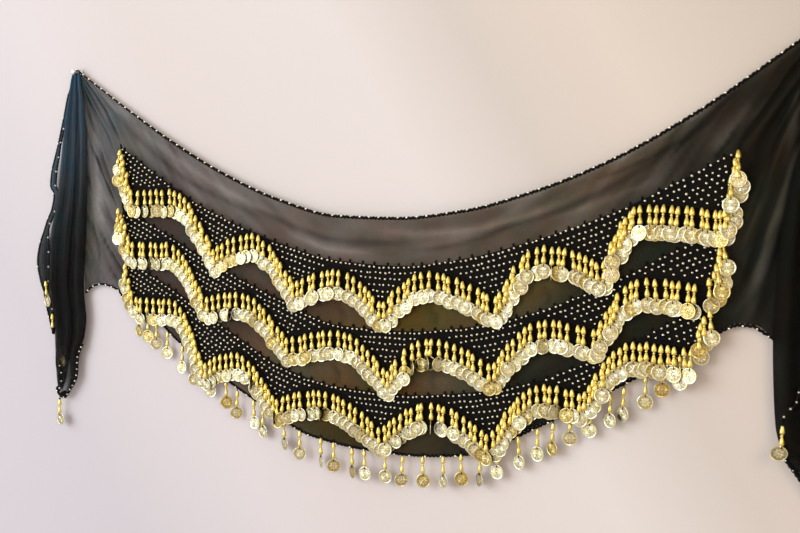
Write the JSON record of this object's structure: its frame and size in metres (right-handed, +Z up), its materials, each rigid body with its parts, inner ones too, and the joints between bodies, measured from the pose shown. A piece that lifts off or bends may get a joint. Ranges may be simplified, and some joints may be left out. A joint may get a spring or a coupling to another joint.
{
  "type": "belly dance hip scarf on two wall pegs",
  "caption": "Sheer black chiffon hip scarf hung by its upper corners on two clear wall pegs, with waved bands of gold beads, spindle and coin drops, and a coin-edged hem.",
  "frame": {"origin": "Centre of the left peg's back face, on the wall plane", "axes": "+X to the right along the line of the two pegs, +Y into the wall, +Z up"},
  "size_m": [1.299, 0.0246, 0.6148],
  "materials": {
    "chiffon": "sheer matte black chiffon",
    "crochet": "close black crochet",
    "braid": "black crocheted braid",
    "gold": "thin gold-coloured stamped metal and satin plastic beads",
    "clear": "clear moulded plastic"
  },
  "bodies": {
    "root": {"chiffon_body": "chiffon", "left_tail": "chiffon", "left_side_fold": "chiffon", "right_tail": "chiffon", "top_edging": "braid", "left_tail_edging": "braid", "right_tail_edging": "braid", "upper_bead_band": "crochet", "middle_bead_band": "crochet", "lower_bead_band": "crochet", "upper_coin_row": "gold", "middle_coin_row": "gold", "lower_coin_row": "gold", "left_coin_column": "gold", "right_coin_column": "gold", "hem_coin_edging": "gold", "left_arch_edging": "braid", "right_arch_edging": "braid", "left_tip_drop": "gold", "left_flap_drop": "gold", "left_edge_drop": "gold", "right_corner_drop": "gold", "left_peg": "clear", "right_peg": "clear"}
  },
  "joints": []
}
